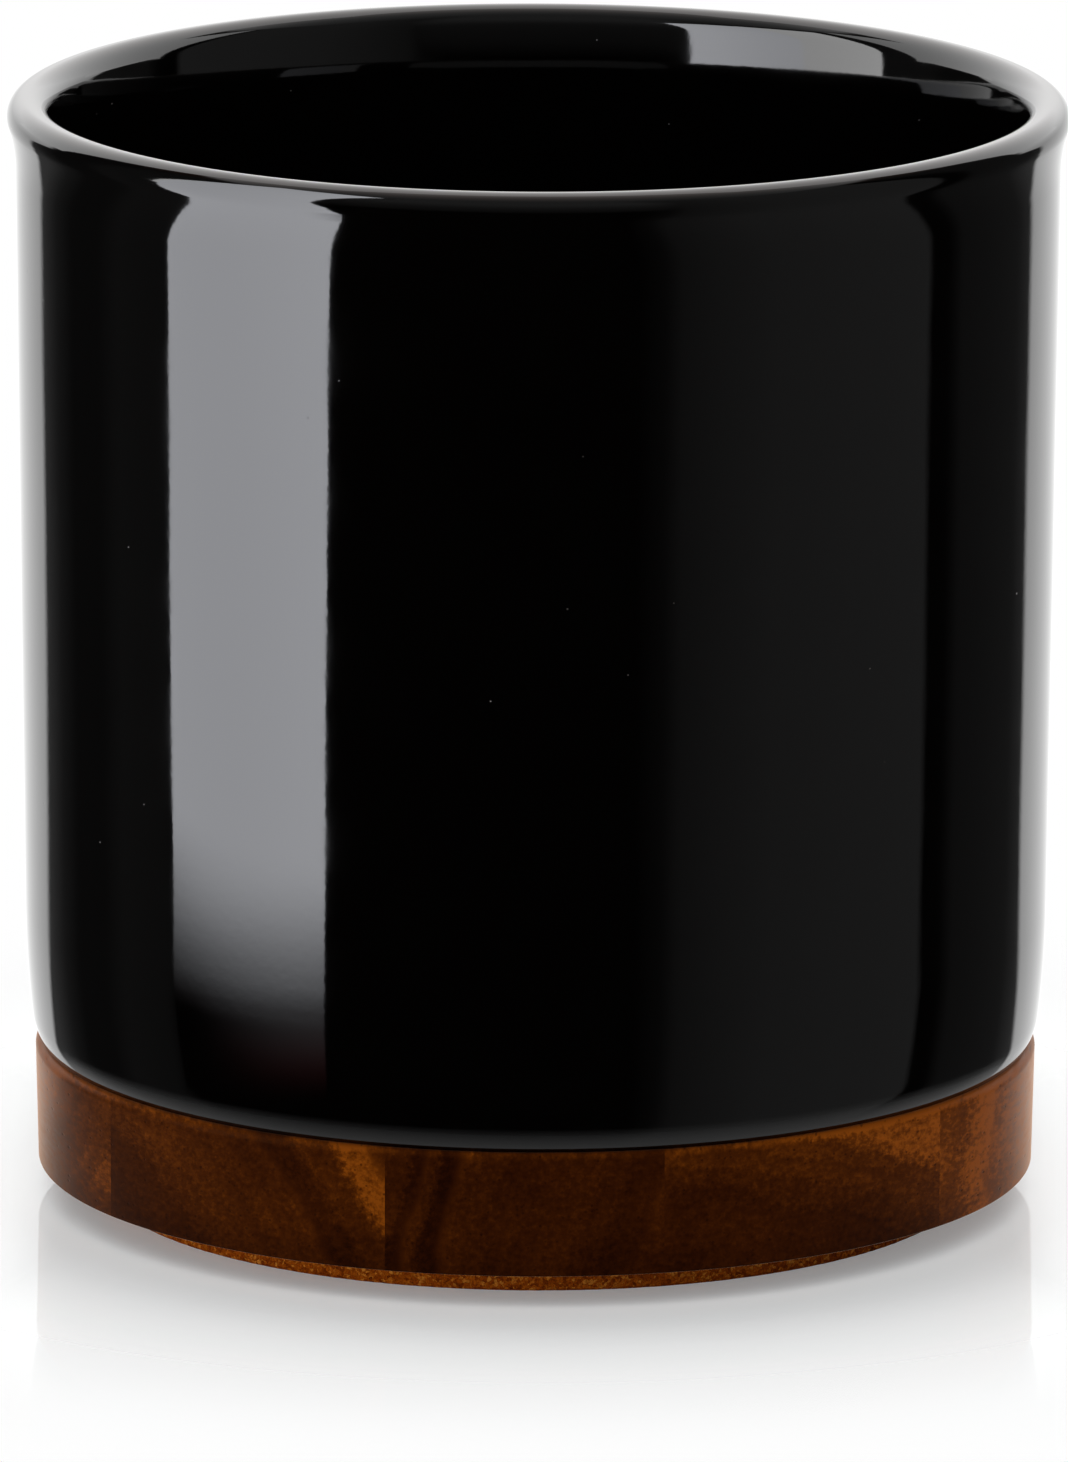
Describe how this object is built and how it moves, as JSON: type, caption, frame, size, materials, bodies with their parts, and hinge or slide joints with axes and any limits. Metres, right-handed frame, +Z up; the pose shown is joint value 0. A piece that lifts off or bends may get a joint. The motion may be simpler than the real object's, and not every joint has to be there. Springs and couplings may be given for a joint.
{
  "type": "utensil crock",
  "caption": "Round black glazed stoneware crock with a rolled, flared lip, standing loose in a turned seat on a glued-up wood base with a cork pad, for keeping cooking utensils on a counter.",
  "frame": {"origin": "middle of the cork pad's underside, on the surface that the crock stands on", "axes": "+Z up along the axis of the crock, +Y along the grain of the base's staves, -Y towards the viewer of the picture"},
  "size_m": [0.17, 0.17, 0.179],
  "materials": {
    "black_glaze": "gloss",
    "base_wood": "satin",
    "cork": "matte"
  },
  "bodies": {
    "base": {"base_stave_1": "base_wood", "base_stave_2": "base_wood", "base_stave_3": "base_wood", "base_stave_4": "base_wood", "base_stave_5": "base_wood", "cork_pad": "cork"},
    "crock": {"crock": "black_glaze"}
  },
  "joints": [
    {"name": "crock_lift", "type": "slide", "parent": "base", "child": "crock", "axis": [0, 0, 1], "range_m": [0, 0.06]}
  ]
}
